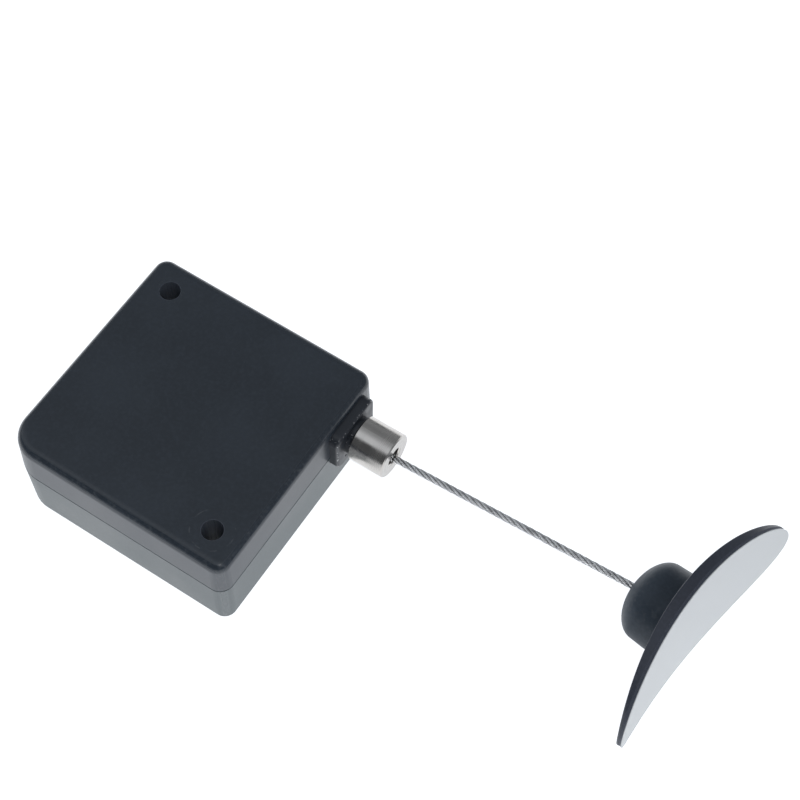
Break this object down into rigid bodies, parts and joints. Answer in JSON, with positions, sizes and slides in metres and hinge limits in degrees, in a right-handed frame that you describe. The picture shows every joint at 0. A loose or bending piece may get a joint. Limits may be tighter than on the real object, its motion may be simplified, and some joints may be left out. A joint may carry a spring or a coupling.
{
  "type": "retractable security tether",
  "caption": "Square pull-box cable reel with a metal outlet nozzle, a thin steel wire rope and a swivelling dome on a curved oval adhesive pad.",
  "frame": {"origin": "centre of the box's back face, which lies on the counter or the wall", "axes": "+X along the cable's outlet, +Z from the box's back face to its front face, +Y completes the right-handed frame"},
  "size_m": [0.1097, 0.0553, 0.0266],
  "materials": {
    "shell_plastic": "fine satin texture",
    "nickel": "turned and nickel plated",
    "outlet_metal": "black",
    "rope": "stranded, bare",
    "axle_steel": "ground",
    "screw_steel": "zinc plated",
    "spring_steel": "blued strip",
    "ferrule_metal": "zinc plated",
    "nylon": "natural",
    "bush_acetal": "natural",
    "drum_plastic": "satin",
    "dome_plastic": "satin",
    "pad_plastic": "fine grain",
    "foam": "black closed-cell foam",
    "liner": "smooth release film"
  },
  "bodies": {
    "housing": {"lower_shell": "shell_plastic", "upper_shell": "shell_plastic", "housing_screws": "screw_steel", "outlet_plate": "outlet_metal", "outlet_pin": "axle_steel", "nozzle": "nickel", "axle": "axle_steel", "lower_washer": "nylon", "upper_washer": "nylon", "cable_lead": "rope", "power_spring": "spring_steel"},
    "drum": {"drum": "drum_plastic", "drum_bush": "bush_acetal", "drum_flange": "drum_plastic", "flange_screws": "screw_steel", "spring_cover": "drum_plastic", "cable_winding": "rope", "cable_anchor": "ferrule_metal"},
    "tether_end": {"cable": "rope", "end_ferrule": "ferrule_metal"},
    "pad_head": {"dome_cap": "dome_plastic", "pad_plate": "pad_plastic", "foam_tape": "foam", "release_liner": "liner", "ferrule_washer": "ferrule_metal"}
  },
  "joints": [
    {"name": "cable_pull", "type": "slide", "parent": "housing", "child": "tether_end", "axis": [0.9991, 0.0419, 0], "range_m": [-0.042, 0.757], "deforming": ["cable"]},
    {"name": "drum_spin", "type": "hinge", "parent": "housing", "child": "drum", "pos_m": [0, 0, 0.0126], "axis": [0, 0, 1], "range_deg": [-3355, 200], "deforming": ["power_spring"]},
    {"name": "pad_swivel", "type": "hinge", "parent": "tether_end", "child": "pad_head", "pos_m": [0.07251, 0.01444, 0.0127], "axis": [0.9991, 0.0419, 0], "continuous": true}
  ],
  "couplings": [
    {"joint": "drum_spin", "follows": "cable_pull", "rad_per_m": -77.22}
  ]
}
